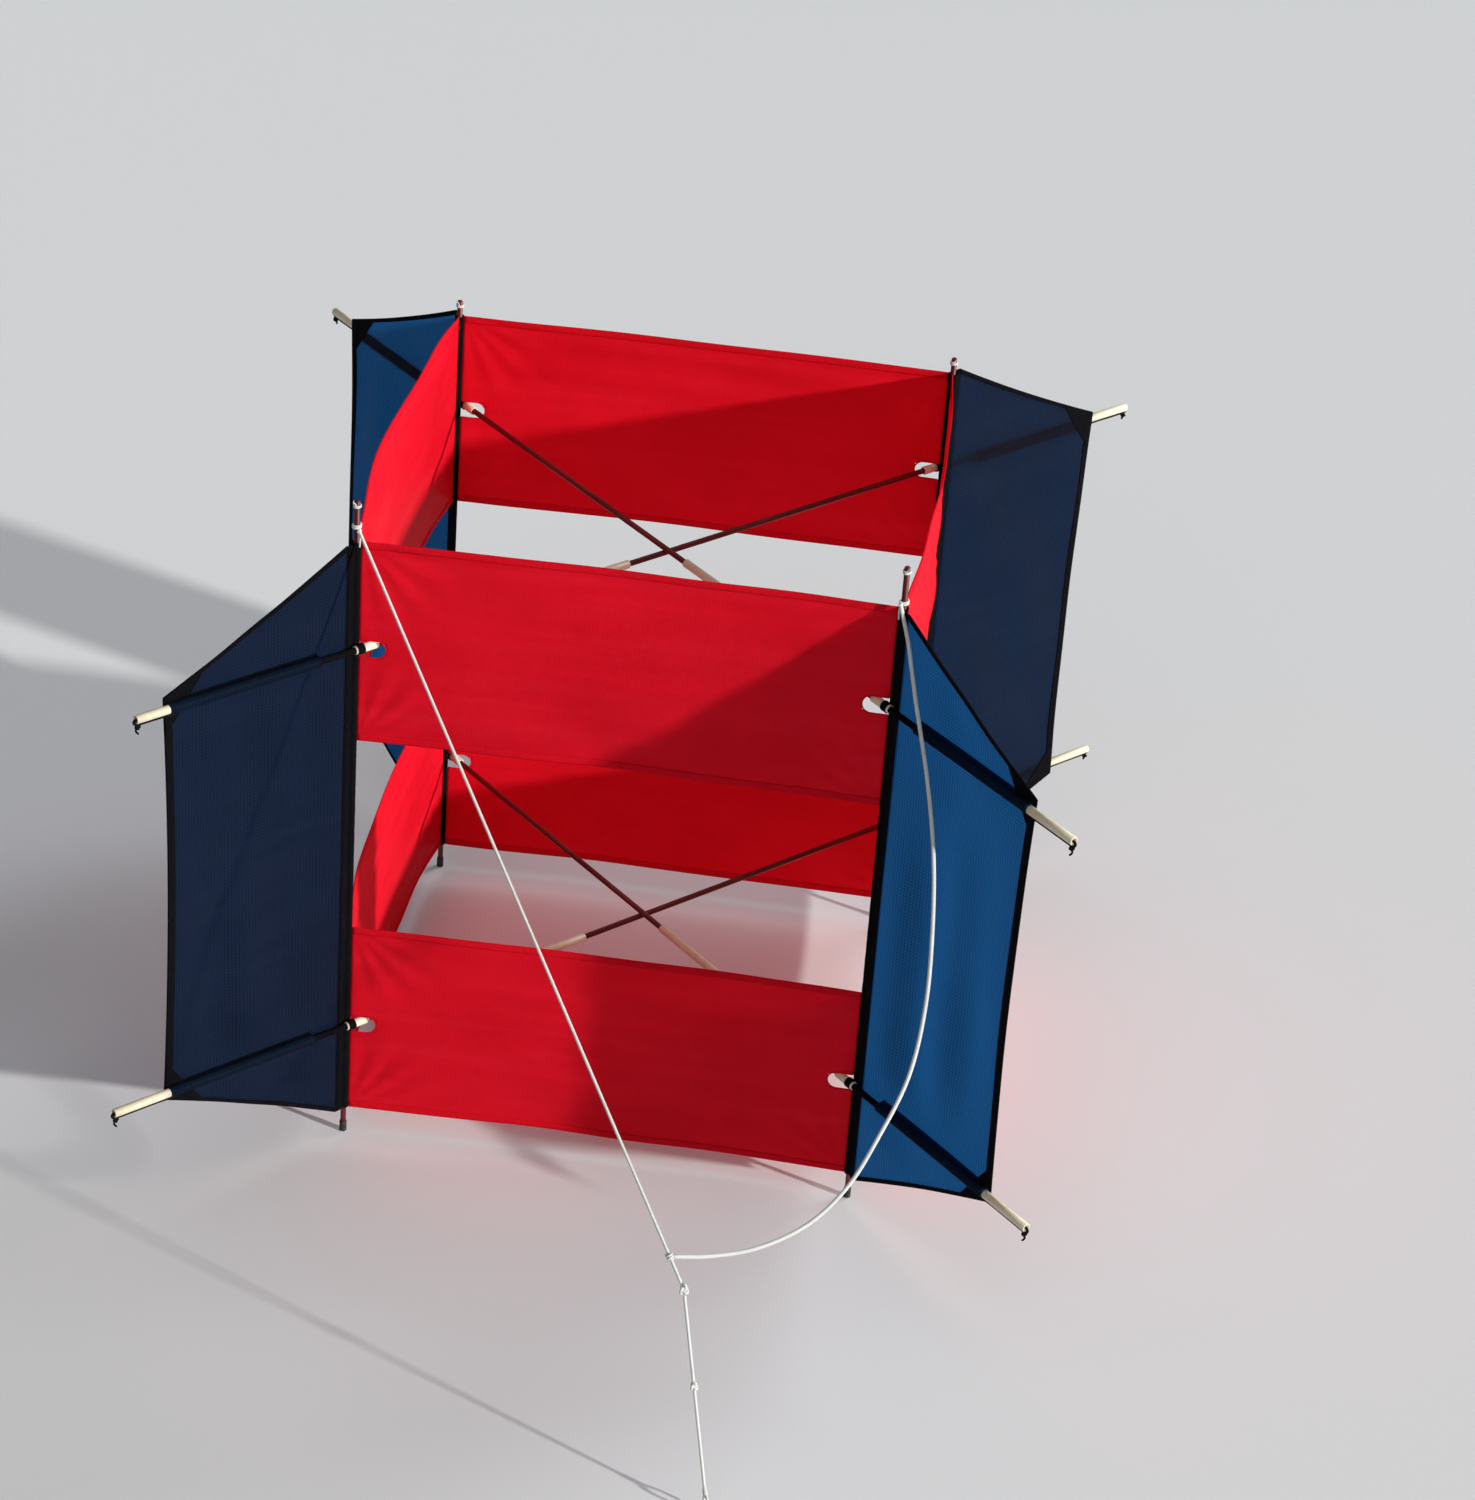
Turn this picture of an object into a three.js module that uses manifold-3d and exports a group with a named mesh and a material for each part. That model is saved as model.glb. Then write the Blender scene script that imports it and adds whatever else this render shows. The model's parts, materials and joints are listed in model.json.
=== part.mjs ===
// Winged box kite with two square cells, standing upright on its four longerons.
// Millimetres. +X is the flyer's right when facing the kite, +Y points away from the flyer,
// +Z runs up the longerons. The origin is on the ground, at the centre of the square box.
import * as THREE from 'three';
import { mergeVertices } from 'three/addons/utils/BufferGeometryUtils.js';
import Module from 'manifold-3d';

const wasm = await Module();
wasm.setup();

// ---------------------------------------------------------------- driving dimensions
const BOX_SIDE = 720;             // between longeron axes
const CELL_HEIGHT = 300;          // each red cell
const CELL_GAP = 300;             // open space between the cells
const SAIL_BOTTOM = 42;           // lower edge of the sail above the ground
const SAIL_TOP = SAIL_BOTTOM + 2 * CELL_HEIGHT + CELL_GAP;
const LONGERON_RADIUS = 4;
const FRONT_LONGERON_TOP = SAIL_TOP + 60;
const BACK_LONGERON_TOP = SAIL_TOP + 24;

const CLOTH = 1;                  // thickness of the cloth solids
const GAP = 0.3;                  // clearance between pieces that touch
const SLEEVE_RADIUS = 6.5;
const SEAM_FLAP_WIDTH = 18;       // black seam allowance that carries the wing

const ROD_RADIUS = 4;             // spreader rods
const TUBE_RADIUS = 6;            // plastic tubes that fit over the rods
const TUBE_BORE = ROD_RADIUS + GAP;
const ROD_OFFSET = 12.9;          // a spreader passes this far beside each longeron axis
const ROD_STAGGER = 5.2;          // crossing spreaders stand this far above or below mid-cell
const WING_REACH = 300;           // wing corner beyond the longeron
const TIP_REACH = {               // end of each tip tube beyond its longeron
  upper: { front_left: 346, front_right: 384, back_right: 376, back_left: 362 },
  lower: { front_left: 384, front_right: 384, back_right: 384, back_left: 384 },
};
const TIP_TUBE_LENGTH = 95;       // pushed on by hand, so each stands out a little differently
const ROD_REACH = 354;            // a rod ends here beyond its longeron
const TIP_RECESS = 8;             // but always at least this far inside its open tube
const ROD_JOINT = 130;            // a spreader's two rods meet this far in front of its middle
const FERRULE_LENGTH = 150;
const FERRULE_START = {           // near end of each ferrule from the spreader's middle
  upper: { right: 55, left: 60 },
  lower: { right: 56, left: 101 },
};
const GUARD_INSIDE = 28;          // guard tube, from inside the longeron
const GUARD_OUTSIDE = 8;          // to just outside it

const LOOP_BORE = TUBE_RADIUS + 0.4;
const LOOP_WALL = 1.2;
const LOOP_LENGTH = 14;
const POCKET_BORE = TUBE_RADIUS + 0.6;
const POCKET_END_SETBACK = 4;     // a pocket stops this far short of the wing's outer edge
const POCKET_INNER_END = 64;      // pockets run from the wing corner to here
const WING_CORNER_RISE = 14;      // wing corner stands this far past its spreader
const WING_TOP_SAG = 4;           // hollow of the wing's sloping edges
const WING_SIDE_SAG = 7;          // hollow of its outer edge
const SLOT_WIDTH = 36;            // cloth opening where a spreader passes through a panel
const SLOT_ABOVE = 9;
const SLOT_BELOW = 17;

const CAP_RADIUS = 5.2;
const CAP_HEIGHT = 16;
const CAP_FLOOR = 1.5;

const CORD_RADIUS = 2;
const TAUT_HITCH_ABOVE_SAIL = 23; // the taut leg is hitched on the longeron this far above the sail
const SLACK_JOIN_ABOVE_KNOT = 45;
const KNOT_RADIUS = 7;
const KNOT_LENGTH = 16;
const TOGGLE_RADIUS = 6;
const TOGGLE_LENGTH = 12;
const END_LOOP_RADIUS = 11;
const END_LOOP_HOLE = 6.5;
const END_LOOP_THICKNESS = 4;

// ---------------------------------------------------------------- materials
function material(color, roughness) {
  return new THREE.MeshStandardMaterial({ color, roughness, metalness: 0 });
}

const redCloth = material(0xe00f24, 0.6);
const navyCloth = material(0x1c2c4e, 0.6);
const blackCloth = material(0x101012, 0.8);
const rodWood = material(0x6b2a2c, 0.5);
const creamPlastic = material(0xe2dcc4, 0.45);
const darkRubber = material(0x151517, 0.7);
const whiteCord = material(0xeef2ee, 0.8);

// ---------------------------------------------------------------- geometry helpers
const kite = new THREE.Group();

function add(parent, name, geometry, finish) {
  const mesh = new THREE.Mesh(geometry, finish.clone());
  mesh.name = name;
  parent.add(mesh);
  return mesh;
}

function toSolid(geometry) {
  const plain = geometry.clone();
  plain.deleteAttribute('normal');
  plain.deleteAttribute('uv');
  const merged = mergeVertices(plain, 1e-3);
  return new wasm.Manifold(new wasm.Mesh({
    numProp: 3,
    vertProperties: new Float32Array(merged.attributes.position.array),
    triVerts: new Uint32Array(merged.index.array),
  }));
}

function toGeometry(solid) {
  const mesh = solid.getMesh();
  const geometry = new THREE.BufferGeometry();
  geometry.setAttribute('position', new THREE.BufferAttribute(mesh.vertProperties, 3));
  geometry.setIndex(new THREE.BufferAttribute(mesh.triVerts, 1));
  geometry.computeVertexNormals();
  return geometry;
}

// Round solid or tube standing on +Z from z0 to z1; a bore of 0 makes it solid.
function roundPiece(radius, bore, z0, z1, sides = 20) {
  const profile = bore > 0
    ? [[bore, z0], [radius, z0], [radius, z1], [bore, z1], [bore, z0]]
    : [[0, z0], [radius, z0], [radius, z1], [0, z1]];
  const points = profile.map(([r, z]) => new THREE.Vector2(r, z));
  const geometry = new THREE.LatheGeometry(points, sides);
  geometry.rotateX(Math.PI / 2);
  return geometry;
}

// The same piece lying along +X.
function roundPieceAlongX(radius, bore, x0, x1, sides = 20) {
  const geometry = roundPiece(radius, bore, x0, x1, sides);
  geometry.rotateY(Math.PI / 2);
  return geometry;
}

// Flat cloth with its outline in the XZ plane, filling y from yLow to yLow + CLOTH.
function uprightCloth(outline, yLow) {
  const geometry = new THREE.ExtrudeGeometry(outline, {
    depth: CLOTH, bevelEnabled: false, curveSegments: 10,
  });
  geometry.rotateX(Math.PI / 2);
  geometry.translate(0, yLow + CLOTH, 0);
  return geometry;
}

function cordAlong(points, steps) {
  const section = new THREE.Shape();
  section.absarc(0, 0, CORD_RADIUS, 0, 2 * Math.PI);
  return new THREE.ExtrudeGeometry(section, {
    steps, curveSegments: 4, extrudePath: new THREE.CatmullRomCurve3(points),
  });
}

// Turns +Z onto a direction and moves the origin to a point.
function stand(mesh, point, direction) {
  mesh.quaternion.setFromUnitVectors(new THREE.Vector3(0, 0, 1), direction);
  mesh.position.copy(point);
}

// ---------------------------------------------------------------- layout
const HALF = BOX_SIDE / 2;
const PANEL_HALF = HALF - SLEEVE_RADIUS - GAP;
const CORNERS = [
  { name: 'front_left', x: -1, y: -1, top: FRONT_LONGERON_TOP, half: 'left' },
  { name: 'front_right', x: 1, y: -1, top: FRONT_LONGERON_TOP, half: 'right' },
  { name: 'back_right', x: 1, y: 1, top: BACK_LONGERON_TOP, half: 'left' },
  { name: 'back_left', x: -1, y: 1, top: BACK_LONGERON_TOP, half: 'right' },
];
const CELLS = [
  { name: 'lower', bottom: SAIL_BOTTOM },
  { name: 'upper', bottom: SAIL_TOP - CELL_HEIGHT },
];

// The spreader from back left to front right lies above the one it crosses.
function rodHeight(cell, corner) {
  const stagger = corner.x * corner.y < 0 ? ROD_STAGGER : -ROD_STAGGER;
  return cell.bottom + CELL_HEIGHT / 2 + stagger;
}

// A corner's spreaders run outwards along local +X, on the side of the front or back panel.
for (const corner of CORNERS) {
  const beside = ROD_OFFSET / Math.SQRT2;
  const pass = new THREE.Vector2(corner.x * (HALF - beside), corner.y * (HALF + beside));
  corner.angle = pass.angle();
  corner.side = corner.x * corner.y;
  corner.reach = new THREE.Vector2(corner.x * HALF, corner.y * HALF).dot(pass.clone().normalize());
  corner.group = new THREE.Group();
  corner.group.position.set(corner.x * HALF, corner.y * HALF, 0);
  corner.group.rotation.z = corner.angle;
  kite.add(corner.group);
}

// ---------------------------------------------------------------- longerons and their sleeves
function addLongeron(corner) {
  const top = corner.top;
  const chamfer = 0.8;
  const profile = [
    [0, CAP_FLOOR + GAP],
    [LONGERON_RADIUS, CAP_FLOOR + GAP],
    [LONGERON_RADIUS, top - chamfer],
    [LONGERON_RADIUS - chamfer, top],
    [0, top],
  ];
  const geometry = new THREE.LatheGeometry(profile.map(([r, z]) => new THREE.Vector2(r, z)), 16);
  geometry.rotateX(Math.PI / 2);
  add(corner.group, `longeron_${corner.name}`, geometry, rodWood);
}

function addFootCap(corner) {
  const bore = LONGERON_RADIUS + GAP;
  const profile = [
    [0, 0], [CAP_RADIUS, 0], [CAP_RADIUS, CAP_HEIGHT], [bore, CAP_HEIGHT], [bore, CAP_FLOOR], [0, CAP_FLOOR],
  ];
  const geometry = new THREE.LatheGeometry(profile.map(([r, z]) => new THREE.Vector2(r, z)), 20);
  geometry.rotateX(Math.PI / 2);
  add(corner.group, `foot_cap_${corner.name}`, geometry, darkRubber);
}

// Cloth position of the wing and its seam flap: just clear of the tubes, on the spreader's side.
const WING_OUTER_FACE = ROD_OFFSET - POCKET_BORE;
const WING_INNER_FACE = WING_OUTER_FACE - CLOTH;

function clothLow(side) {
  return side > 0 ? WING_INNER_FACE : -WING_OUTER_FACE;
}

// A sleeve is a cloth tube with the wing's seam flap and one loop round each spreader.
function addSleeve(corner) {
  const flap = new THREE.Shape();
  flap.moveTo(0, SAIL_BOTTOM);
  flap.lineTo(SEAM_FLAP_WIDTH, SAIL_BOTTOM);
  flap.lineTo(SEAM_FLAP_WIDTH, SAIL_TOP);
  flap.lineTo(0, SAIL_TOP);
  let solid = toSolid(roundPiece(SLEEVE_RADIUS, 0, SAIL_BOTTOM, SAIL_TOP, 24));
  solid = solid.add(toSolid(uprightCloth(flap, clothLow(corner.side))));
  const end = LOOP_LENGTH / 2;
  for (const cell of CELLS) {
    const at = [0, corner.side * ROD_OFFSET, rodHeight(cell, corner)];
    const loop = roundPieceAlongX(LOOP_BORE + LOOP_WALL, 0, -end, end, 24).translate(...at);
    const hole = roundPieceAlongX(LOOP_BORE, 0, -end - 1, end + 1, 24).translate(...at);
    solid = solid.add(toSolid(loop)).subtract(toSolid(hole));
  }
  const bore = roundPiece(LONGERON_RADIUS + GAP, 0, SAIL_BOTTOM - 1, SAIL_TOP + 1, 24);
  solid = solid.subtract(toSolid(bore));
  add(corner.group, `longeron_sleeve_${corner.name}`, toGeometry(solid), blackCloth);
}

// ---------------------------------------------------------------- wings
// The free edges are shallow hollow curves between the longeron and the two spreader corners.
function wingOutline(corner) {
  const inner = SEAM_FLAP_WIDTH + GAP;
  const low = rodHeight(CELLS[0], corner) - WING_CORNER_RISE;
  const high = rodHeight(CELLS[1], corner) + WING_CORNER_RISE;
  const middle = (inner + WING_REACH) / 2;
  const outline = new THREE.Shape();
  outline.moveTo(inner, SAIL_BOTTOM);
  outline.quadraticCurveTo(middle, (SAIL_BOTTOM + low) / 2 + 2 * WING_TOP_SAG, WING_REACH, low);
  outline.quadraticCurveTo(WING_REACH - 2 * WING_SIDE_SAG, (low + high) / 2, WING_REACH, high);
  outline.quadraticCurveTo(middle, (SAIL_TOP + high) / 2 - 2 * WING_TOP_SAG, inner, SAIL_TOP);
  return outline;
}

// Half tunnel sewn on the wing's face; its open side is closed by the wing.
function pocketSolid(side, height) {
  const outer = POCKET_BORE + CLOTH;
  const foot = side * (WING_OUTER_FACE - CLOTH / 2);
  const centre = side * ROD_OFFSET;
  const turn = side > 0;
  const from = turn ? -Math.PI / 2 : Math.PI * 1.5;
  const to = Math.PI / 2;
  const shape = new THREE.Shape();
  shape.moveTo(foot, -outer);
  shape.absarc(centre, 0, outer, from, to, !turn);
  shape.lineTo(foot, outer);
  shape.lineTo(foot, POCKET_BORE);
  shape.absarc(centre, 0, POCKET_BORE, to, from, turn);
  shape.lineTo(foot, -POCKET_BORE);
  const length = WING_REACH - POCKET_END_SETBACK - POCKET_INNER_END;
  const geometry = new THREE.ExtrudeGeometry(shape, {
    depth: length, bevelEnabled: false, curveSegments: 8,
  });
  // the outline's axes become local Y and Z, and the depth runs along local X
  geometry.applyMatrix4(new THREE.Matrix4().set(0, 0, 1, 0, 1, 0, 0, 0, 0, 1, 0, 0, 0, 0, 0, 1));
  geometry.translate(POCKET_INNER_END, 0, height);
  return toSolid(geometry);
}

function addWing(corner) {
  let solid = toSolid(uprightCloth(wingOutline(corner), clothLow(corner.side)));
  for (const cell of CELLS) {
    solid = solid.add(pocketSolid(corner.side, rodHeight(cell, corner)));
  }
  add(corner.group, `wing_${corner.name}`, toGeometry(solid), navyCloth);
}

// ---------------------------------------------------------------- spreaders
function addSpreaderHalf(corner, cell) {
  const tag = `${cell.name}_${corner.name}`;
  const group = new THREE.Group();
  group.position.set(0, corner.side * ROD_OFFSET, rodHeight(cell, corner));
  corner.group.add(group);
  const isFront = corner.y < 0;
  const tip = TIP_REACH[cell.name][corner.name];
  const rodEnd = Math.min(ROD_REACH, tip - TIP_RECESS);
  const rodStart = (isFront ? ROD_JOINT + GAP : GAP - ROD_JOINT) - corner.reach;
  add(group, `spreader_rod_${tag}`, roundPieceAlongX(ROD_RADIUS, 0, rodStart, rodEnd, 16), rodWood);
  add(group, `guard_tube_${tag}`,
    roundPieceAlongX(TUBE_RADIUS, TUBE_BORE, -GUARD_INSIDE, GUARD_OUTSIDE), creamPlastic);
  add(group, `tip_tube_${tag}`,
    roundPieceAlongX(TUBE_RADIUS, TUBE_BORE, tip - TIP_TUBE_LENGTH, tip), creamPlastic);
  if (isFront) {
    const start = FERRULE_START[cell.name][corner.half] - corner.reach;
    add(group, `ferrule_${tag}`,
      roundPieceAlongX(TUBE_RADIUS, TUBE_BORE, start, start + FERRULE_LENGTH), creamPlastic);
  }
}

// ---------------------------------------------------------------- red cell panels
// A slot is open at the sleeve and round at its inner end, so the tube slips out past the longeron.
function panelOutline(cell, slotHeights) {
  const top = cell.bottom + CELL_HEIGHT;
  const outline = new THREE.Shape();
  outline.moveTo(-PANEL_HALF, cell.bottom);
  outline.lineTo(PANEL_HALF, cell.bottom);
  const radius = (SLOT_ABOVE + SLOT_BELOW) / 2;
  for (const [edge, height] of [[1, slotHeights.right], [-1, slotHeights.left]]) {
    if (height === undefined) continue;
    const low = height - SLOT_BELOW;
    const high = height + SLOT_ABOVE;
    const centre = edge * (PANEL_HALF - SLOT_WIDTH + radius);
    if (edge < 0) outline.lineTo(-PANEL_HALF, top);
    const [first, last] = edge > 0 ? [low, high] : [high, low];
    outline.lineTo(edge * PANEL_HALF, first);
    const start = edge > 0 ? Math.PI * 1.5 : Math.PI / 2;
    outline.absarc(centre, (low + high) / 2, radius, start, start - Math.PI, true);
    outline.lineTo(edge * PANEL_HALF, last);
    if (edge > 0) outline.lineTo(PANEL_HALF, top);
  }
  if (slotHeights.right === undefined) {
    outline.lineTo(PANEL_HALF, top);
    outline.lineTo(-PANEL_HALF, top);
  }
  return outline;
}

function addPanels(cell) {
  const height = (x, y) => rodHeight(cell, { x, y });
  const faces = [
    { name: 'front', turn: 0, slots: { left: height(-1, -1), right: height(1, -1) } },
    { name: 'right', turn: Math.PI / 2, slots: {} },
    { name: 'back', turn: Math.PI, slots: { left: height(1, 1), right: height(-1, 1) } },
    { name: 'left', turn: -Math.PI / 2, slots: {} },
  ];
  for (const face of faces) {
    const geometry = uprightCloth(panelOutline(cell, face.slots), -HALF - CLOTH / 2);
    const mesh = add(kite, `panel_${cell.name}_${face.name}`, geometry, redCloth);
    mesh.rotation.z = face.turn;
  }
}

for (const corner of CORNERS) {
  addLongeron(corner);
  addFootCap(corner);
  addSleeve(corner);
  addWing(corner);
  for (const cell of CELLS) addSpreaderHalf(corner, cell);
}
for (const cell of CELLS) addPanels(cell);

// ---------------------------------------------------------------- bridle and flying line
// The left leg is taut and runs to the tow knot. The right leg hangs slack and is tied to the
// left leg a little above the knot.
const TOW_POINT = new THREE.Vector3(198, -943, 250);
const TAUT_TOP = new THREE.Vector3(-HALF, -HALF, SAIL_TOP + TAUT_HITCH_ABOVE_SAIL);
const LINE_END = new THREE.Vector3(255.6, -1062, 26);
const SLACK_ROUTE = [
  [356, -368, 950], [371, -390, 911], [381, -412, 880], [392, -436, 845], [418, -485, 765],
  [438, -535, 684], [449, -588, 600], [452, -640, 518], [442, -692, 444], [415, -740, 382],
  [382, -786, 326], [339, -828, 291], [280, -868, 273], [224, -896, 272],
].map(([x, y, z]) => new THREE.Vector3(x, y, z));

const lineDirection = LINE_END.clone().sub(TOW_POINT).normalize();
const tautDirection = TOW_POINT.clone().sub(TAUT_TOP).normalize();

function addTautLeg() {
  const start = TAUT_TOP.clone().addScaledVector(tautDirection, 2.5 * LONGERON_RADIUS);
  const end = TOW_POINT.clone().addScaledVector(tautDirection, -KNOT_LENGTH / 2 - CORD_RADIUS);
  add(kite, 'bridle_leg_left', cordAlong([start, end], 12), whiteCord);
}

function addSlackLeg() {
  const last = SLACK_ROUTE[SLACK_ROUTE.length - 1];
  const join = TOW_POINT.clone().addScaledVector(tautDirection, -SLACK_JOIN_ABOVE_KNOT);
  const away = last.clone().sub(join).normalize();
  const end = join.addScaledVector(away, 3 * CORD_RADIUS);
  add(kite, 'bridle_leg_right', cordAlong([...SLACK_ROUTE, end], 78), whiteCord);
}

function addTowKnot() {
  const half = KNOT_LENGTH / 2;
  const geometry = roundPiece(KNOT_RADIUS, 0, -half, half, 12);
  stand(add(kite, 'tow_knot', geometry, whiteCord), TOW_POINT, lineDirection);
}

function addFlyingLine() {
  const start = TOW_POINT.clone().addScaledVector(lineDirection, KNOT_LENGTH / 2 + GAP);
  add(kite, 'flying_line', cordAlong([start, LINE_END], 6), whiteCord);
  const toggle = roundPiece(TOGGLE_RADIUS, CORD_RADIUS + GAP, 0, TOGGLE_LENGTH, 12);
  const at = TOW_POINT.clone().lerp(LINE_END, 0.45);
  stand(add(kite, 'line_toggle', toggle, whiteCord), at, lineDirection);
}

// Flat loop for the flyer's winder line, standing in the vertical plane of the line.
function addEndLoop() {
  const half = END_LOOP_THICKNESS / 2;
  const geometry = roundPiece(END_LOOP_RADIUS, END_LOOP_HOLE, -half, half, 24);
  const flatSide = new THREE.Vector3(-lineDirection.y, lineDirection.x, 0).normalize();
  const at = LINE_END.clone().addScaledVector(lineDirection, END_LOOP_RADIUS + GAP);
  stand(add(kite, 'line_end_loop', geometry, whiteCord), at, flatSide);
}

addTautLeg();
addSlackLeg();
addTowKnot();
addFlyingLine();
addEndLoop();

export default kite;
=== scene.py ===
"""Winged box kite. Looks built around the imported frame, in metres, in the frame's own axes."""
import json
import math

import bpy
import numpy as np
from mathutils import Matrix, Vector


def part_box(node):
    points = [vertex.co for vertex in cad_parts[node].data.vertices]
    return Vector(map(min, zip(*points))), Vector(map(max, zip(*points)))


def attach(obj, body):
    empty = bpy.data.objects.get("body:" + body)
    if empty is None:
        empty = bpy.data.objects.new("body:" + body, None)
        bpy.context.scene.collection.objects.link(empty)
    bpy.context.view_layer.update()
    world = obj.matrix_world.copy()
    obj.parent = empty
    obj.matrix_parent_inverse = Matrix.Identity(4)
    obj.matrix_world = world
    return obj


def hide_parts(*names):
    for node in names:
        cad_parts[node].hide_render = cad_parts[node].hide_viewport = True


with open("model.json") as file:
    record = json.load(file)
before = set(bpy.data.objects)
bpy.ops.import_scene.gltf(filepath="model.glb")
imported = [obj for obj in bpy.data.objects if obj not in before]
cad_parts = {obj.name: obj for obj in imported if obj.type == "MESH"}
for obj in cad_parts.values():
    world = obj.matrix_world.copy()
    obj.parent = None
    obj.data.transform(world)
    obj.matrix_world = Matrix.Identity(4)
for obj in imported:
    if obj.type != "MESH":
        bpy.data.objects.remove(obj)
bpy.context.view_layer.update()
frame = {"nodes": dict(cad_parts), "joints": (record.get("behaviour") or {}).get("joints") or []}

ROOT = "sail_frame"
CORNERS = {
    "front_left": (-1, -1),
    "front_right": (1, -1),
    "back_right": (1, 1),
    "back_left": (-1, 1),
}
CELLS = ("lower", "upper")
Z = np.array([0.0, 0.0, 1.0])


# ---------------- sizes taken from the frame
def box_of(node):
    low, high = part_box(node)
    return np.array(low), np.array(high)


def middle_of(node):
    low, high = box_of(node)
    return (low + high) / 2


def points_of(node):
    return np.array([v.co for v in frame["nodes"][node].data.vertices])


SAIL_LOW, SAIL_HIGH = (box_of("longeron_sleeve_front_left")[i][2] for i in (0, 1))
HALF_BOX = -middle_of("panel_upper_front")[1]
PANEL_HALF = box_of("panel_upper_front")[1][0]
DOWEL = 0.004  # rod radius
DOWEL_EDGE = 0.0006  # worn edge at a rod's end
TUBE = 0.006  # radius outside
TUBE_BORE = 0.0043
SLEEVE = 0.0065  # radius
CLOTH = 0.0006  # thickness drawn for the sails
SEAM_FLAP = 0.018  # reach of the sleeve's flap along the wing
SEAM_GAP = 0.0011  # between the tubes and the wing cloth


class Corner:
    """One longeron, with the directions of its wing and spreaders."""

    def __init__(self, name):
        self.name = name
        self.x, self.y = CORNERS[name]
        joint = next(j for j in frame["joints"] if j["name"] == f"pull_out_upper_{name}")
        self.out = np.array(joint["axis"], float)
        self.out /= np.linalg.norm(self.out)
        self.axis = np.append(middle_of(f"longeron_{name}")[:2], 0.0)
        across = np.cross(Z, self.out)
        self.beside = across * self.x * self.y
        self.low, self.top = (box_of(f"longeron_{name}")[i][2] for i in (0, 1))
        tube = middle_of(f"tip_tube_upper_{name}")
        self.rod_offset = float(np.dot(tube - self.axis, self.beside))
        self.rod_z = {c: float(middle_of(f"tip_tube_{c}_{name}")[2]) for c in CELLS}

    def at(self, reach, beside, z):
        """A point so far out along the wing, so far beside it, and so high."""
        return self.axis + self.out * reach + self.beside * beside + Z * z

    def rod_origin(self, cell):
        """Where a spreader's axis passes beside the longeron."""
        return self.at(0, self.rod_offset, self.rod_z[cell])

    def reach_of(self, node, beside_over=-1.0):
        """Nearest and furthest reach of a node's points that lie further beside than a limit."""
        points = points_of(node) - self.axis
        reach = (points @ self.out)[points @ self.beside > beside_over]
        return float(reach.min()), float(reach.max())


corners = {name: Corner(name) for name in CORNERS}
WING_PLANE = corners["front_left"].rod_offset - TUBE - SEAM_GAP
WING_REACH = corners["front_left"].reach_of("wing_front_left")[1]
POCKET_SIDE = WING_PLANE + 0.003  # a wing's points further beside than this are its pockets


# ---------------- mesh helpers
def add_object(name, data):
    thing = bpy.data.objects.new(name, data)
    bpy.context.scene.collection.objects.link(thing)
    return thing


def make_object(name, vertices, faces, uvs, flat_faces=()):
    """A mesh object; uvs holds one pair for each vertex, in metres of material."""
    mesh = bpy.data.meshes.new(name)
    mesh.from_pydata([tuple(v) for v in vertices], [], [tuple(f) for f in faces])
    mesh.update()
    layer = mesh.uv_layers.new(name="cloth")
    loops = np.empty(len(mesh.loops), int)
    mesh.loops.foreach_get("vertex_index", loops)
    layer.data.foreach_set("uv", np.asarray(uvs, np.float32)[loops].ravel())
    mesh.polygons.foreach_set("use_smooth", [True] * len(mesh.polygons))
    for index in flat_faces:
        mesh.polygons[index].use_smooth = False
    return add_object(name, mesh)


def finish_piece(piece, material, body=ROOT, nodes=()):
    piece.data.materials.append(material)
    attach(piece, body)
    if nodes:
        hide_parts(*nodes)
    return piece


def shell(name, middle, u, v, thickness, keep=None):
    """Thin closed cloth either side of a grid of points (rows, columns, 3)."""
    rows, columns = middle.shape[:2]
    along = np.gradient(middle, axis=1)
    up = np.gradient(middle, axis=0)
    normal = np.cross(along, up)
    normal /= np.linalg.norm(normal, axis=2, keepdims=True) + 1e-12
    front = (middle + normal * thickness / 2).reshape(-1, 3)
    back = (middle - normal * thickness / 2).reshape(-1, 3)
    if keep is None:
        keep = np.ones((rows - 1, columns - 1), bool)
    count = rows * columns
    faces = []
    edges = {}
    for i, j in np.argwhere(keep):
        a = i * columns + j
        quad = (a, a + 1, a + 1 + columns, a + columns)
        faces.append(quad)
        faces.append(tuple(v + count for v in reversed(quad)))
        for k in range(4):
            p, q = quad[k], quad[(k + 1) % 4]
            if (q, p) in edges:
                del edges[(q, p)]
            else:
                edges[(p, q)] = True
    rim_start = len(faces)
    for p, q in edges:
        faces.append((q, p, p + count, q + count))
    vertices = np.concatenate([front, back])
    uvs = np.concatenate([np.stack([u, v], axis=2).reshape(-1, 2)] * 2)
    used = sorted({v for f in faces for v in f})
    renumber = {v: k for k, v in enumerate(used)}
    faces = [tuple(renumber[v] for v in f) for f in faces]
    return make_object(name, vertices[used], faces, uvs[used],
                       flat_faces=range(rim_start, len(faces)))


def cross_directions(axis):
    """Two directions square to an axis and to each other."""
    helper = Z if abs(axis[2]) < 0.9 else np.array([1.0, 0.0, 0.0])
    side = np.cross(axis, helper)
    side /= np.linalg.norm(side)
    return side, np.cross(axis, side)


def run_along(points):
    """Distance of each point from the first, along the path."""
    steps = np.linalg.norm(np.diff(points, axis=0), axis=1)
    return np.concatenate([[0], np.cumsum(steps)])


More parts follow.
